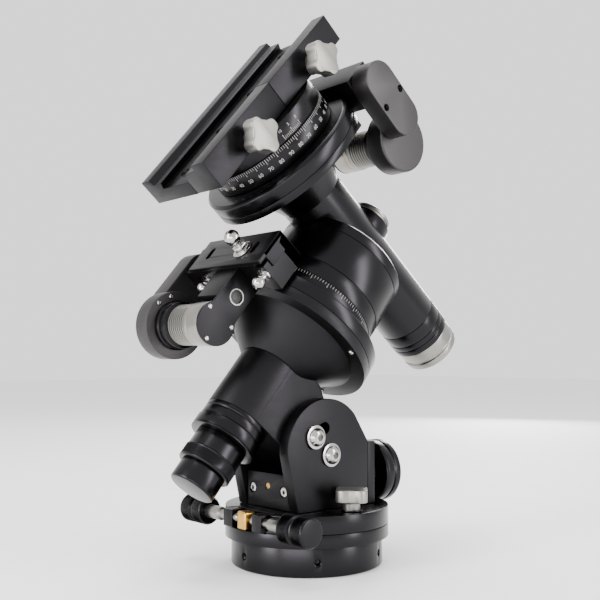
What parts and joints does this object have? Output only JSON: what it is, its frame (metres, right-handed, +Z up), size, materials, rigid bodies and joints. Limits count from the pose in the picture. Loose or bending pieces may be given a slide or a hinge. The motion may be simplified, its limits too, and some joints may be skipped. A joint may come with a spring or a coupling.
{
  "type": "telescope mount head",
  "caption": "Two-axis motorised telescope mount head: pier base, azimuth and latitude adjusters, tilted polar axis, cross axis and dovetail saddle.",
  "frame": {"origin": "centre of the flat pier face, on the azimuth axis", "axes": "+Z up along the azimuth axis; the polar axis rises towards +X at 49.6 degrees in the plane Y = 0; the clamp side of the saddle faces -Y"},
  "size_m": [0.3472, 0.1744, 0.4922],
  "materials": {
    "black_anodised": "satin black anodised aluminium",
    "silver_aluminium": "satin natural aluminium",
    "steel": "bright stainless steel",
    "brass": "turned brass",
    "bronze": "bronze wheel rim"
  },
  "bodies": {
    "base": {"pier_adapter": "black_anodised", "azimuth_base": "black_anodised", "azimuth_peg": "brass", "azimuth_pivot_bolt": "steel"},
    "azimuth_table": {"azimuth_plate": "black_anodised", "cheek_near": "black_anodised", "cheek_far": "black_anodised", "front_block": "black_anodised", "rear_plate": "black_anodised", "screw_block_near": "black_anodised", "screw_block_far": "black_anodised"},
    "azimuth_screw_near": {"azimuth_screw_near": "black_anodised"},
    "azimuth_screw_far": {"azimuth_screw_far": "black_anodised"},
    "azimuth_lock": {"azimuth_lock_knob": "silver_aluminium"},
    "altitude_knob": {"altitude_knob": "black_anodised"},
    "altitude_head": {"polar_housing": "black_anodised", "polar_wheel_cover": "black_anodised", "polar_bearing": "steel", "finder_sleeve": "black_anodised", "pivot_screw_near": "steel", "pivot_screw_far": "steel", "slot_screw_near": "steel", "slot_screw_far": "steel", "polar_worm_block": "black_anodised", "polar_transfer_case": "black_anodised", "polar_gearhead": "black_anodised", "polar_motor": "silver_aluminium", "polar_motor_cover": "black_anodised", "polar_bracket": "black_anodised", "polar_ball_stud": "steel"},
    "finder_ring": {"finder_ring": "black_anodised"},
    "finder_cap": {"finder_cap": "black_anodised"},
    "polar_worm": {"polar_worm": "steel"},
    "polar_pulley": {"polar_drive_pulley": "brass"},
    "polar_circle": {"polar_circle": "black_anodised"},
    "polar_rotor": {"polar_rotor": "black_anodised", "polar_shaft": "steel", "polar_wheel": "bronze", "saddle_housing": "black_anodised", "saddle_wheel_cover": "black_anodised", "saddle_bearing": "steel", "saddle_worm_block": "black_anodised", "saddle_transfer_case": "black_anodised", "saddle_gearhead": "black_anodised", "saddle_motor": "silver_aluminium", "saddle_motor_cover": "black_anodised"},
    "polar_clutch": {"polar_clutch_knob": "silver_aluminium"},
    "saddle_clutch": {"saddle_clutch_knob": "silver_aluminium"},
    "saddle_worm": {"saddle_worm": "steel"},
    "saddle_pulley": {"saddle_drive_pulley": "brass"},
    "saddle_circle": {"saddle_circle": "black_anodised"},
    "saddle": {"saddle_rotor": "black_anodised", "saddle_shaft": "steel", "saddle_wheel": "bronze", "saddle_plate": "black_anodised"},
    "jaw_low": {"jaw_low": "black_anodised"},
    "jaw_high": {"jaw_high": "black_anodised"},
    "jaw_knob_low": {"jaw_knob_low": "silver_aluminium"},
    "jaw_knob_high": {"jaw_knob_high": "silver_aluminium"}
  },
  "joints": [
    {"name": "azimuth_turn", "type": "hinge", "parent": "base", "child": "azimuth_table", "pos_m": [0, 0, 0.0366], "axis": [0, 0, 1], "range_deg": [-4.5, 4.5]},
    {"name": "azimuth_screw_near_feed", "type": "slide", "parent": "azimuth_table", "child": "azimuth_screw_near", "axis": [0, 1, 0], "range_m": [-0.0056, 0.0056]},
    {"name": "azimuth_screw_far_feed", "type": "slide", "parent": "azimuth_table", "child": "azimuth_screw_far", "axis": [0, 1, 0], "range_m": [-0.0056, 0.0056]},
    {"name": "azimuth_lock_turn", "type": "hinge", "parent": "azimuth_table", "child": "azimuth_lock", "pos_m": [0, -0.06, 0.0527], "axis": [0, 0, 1], "range_deg": [0, 180]},
    {"name": "altitude_tilt", "type": "hinge", "parent": "azimuth_table", "child": "altitude_head", "pos_m": [-0.0086, 0, 0.1002], "axis": [0, -1, 0], "range_deg": [-33, 15]},
    {"name": "altitude_knob_turn", "type": "hinge", "parent": "azimuth_table", "child": "altitude_knob", "pos_m": [0.076, 0, 0.0753], "axis": [1, 0, 0], "range_deg": [-2600, 1190]},
    {"name": "finder_focus", "type": "hinge", "parent": "altitude_head", "child": "finder_ring", "pos_m": [-0.10694, 0, 0.10135], "axis": [0.6481, 0, 0.7615], "continuous": true},
    {"name": "finder_cap_pull", "type": "slide", "parent": "altitude_head", "child": "finder_cap", "axis": [-0.6481, 0, -0.7615], "range_m": [0, 0.02]},
    {"name": "polar_worm_spin", "type": "hinge", "parent": "altitude_head", "child": "polar_worm", "pos_m": [-0.07687, 0, 0.2632], "axis": [0, 1, 0], "continuous": true},
    {"name": "polar_pulley_spin", "type": "hinge", "parent": "altitude_head", "child": "polar_pulley", "pos_m": [-0.1015, 0, 0.23426], "axis": [0, 1, 0], "continuous": true},
    {"name": "polar_circle_set", "type": "hinge", "parent": "altitude_head", "child": "polar_circle", "pos_m": [-0.00194, 0, 0.22471], "axis": [0.6481, 0, 0.7615], "continuous": true},
    {"name": "polar_axis", "type": "hinge", "parent": "altitude_head", "child": "polar_rotor", "pos_m": [0, 0, 0.227], "axis": [0.6481, 0, 0.7615], "continuous": true},
    {"name": "polar_clutch_turn", "type": "hinge", "parent": "polar_rotor", "child": "polar_clutch", "pos_m": [0.05749, 0, 0.29455], "axis": [0.6481, 0, 0.7615], "range_deg": [0, 180]},
    {"name": "saddle_clutch_turn", "type": "hinge", "parent": "polar_rotor", "child": "saddle_clutch", "pos_m": [0.05749, 0, 0.29455], "axis": [-0.7615, 0, 0.6481], "range_deg": [0, 180]},
    {"name": "saddle_worm_spin", "type": "hinge", "parent": "polar_rotor", "child": "saddle_worm", "pos_m": [0.02123, 0, 0.43308], "axis": [0, 1, 0], "continuous": true},
    {"name": "saddle_pulley_spin", "type": "hinge", "parent": "polar_rotor", "child": "saddle_pulley", "pos_m": [0.05017, 0, 0.40846], "axis": [0, 1, 0], "continuous": true},
    {"name": "saddle_circle_set", "type": "hinge", "parent": "polar_rotor", "child": "saddle_circle", "pos_m": [0.05749, 0, 0.29455], "axis": [-0.7615, 0, 0.6481], "continuous": true},
    {"name": "saddle_axis", "type": "hinge", "parent": "polar_rotor", "child": "saddle", "pos_m": [0.05749, 0, 0.29455], "axis": [-0.7615, 0, 0.6481], "continuous": true},
    {"name": "jaw_low_slide", "type": "slide", "parent": "saddle", "child": "jaw_low", "axis": [0, -1, 0], "range_m": [0, 0.006]},
    {"name": "jaw_high_slide", "type": "slide", "parent": "saddle", "child": "jaw_high", "axis": [0, -1, 0], "range_m": [0, 0.006]},
    {"name": "jaw_knob_low_turn", "type": "hinge", "parent": "jaw_low", "child": "jaw_knob_low", "pos_m": [-0.10611, -0.05, 0.36616], "axis": [0, 1, 0], "range_deg": [-720, 720]},
    {"name": "jaw_knob_high_turn", "type": "hinge", "parent": "jaw_high", "child": "jaw_knob_high", "pos_m": [-0.03936, -0.05, 0.4446], "axis": [0, 1, 0], "range_deg": [-720, 720]}
  ],
  "couplings": [
    {"joint": "azimuth_screw_near_feed", "follows": "azimuth_turn", "m_per_rad": 0.07},
    {"joint": "azimuth_screw_far_feed", "follows": "azimuth_turn", "m_per_rad": 0.07},
    {"joint": "altitude_knob_turn", "follows": "altitude_tilt", "ratio": 78.226},
    {"joint": "polar_worm_spin", "follows": "polar_axis", "ratio": 180},
    {"joint": "polar_pulley_spin", "follows": "polar_axis", "ratio": 180},
    {"joint": "saddle_worm_spin", "follows": "saddle_axis", "ratio": 180},
    {"joint": "saddle_pulley_spin", "follows": "saddle_axis", "ratio": 180}
  ]
}
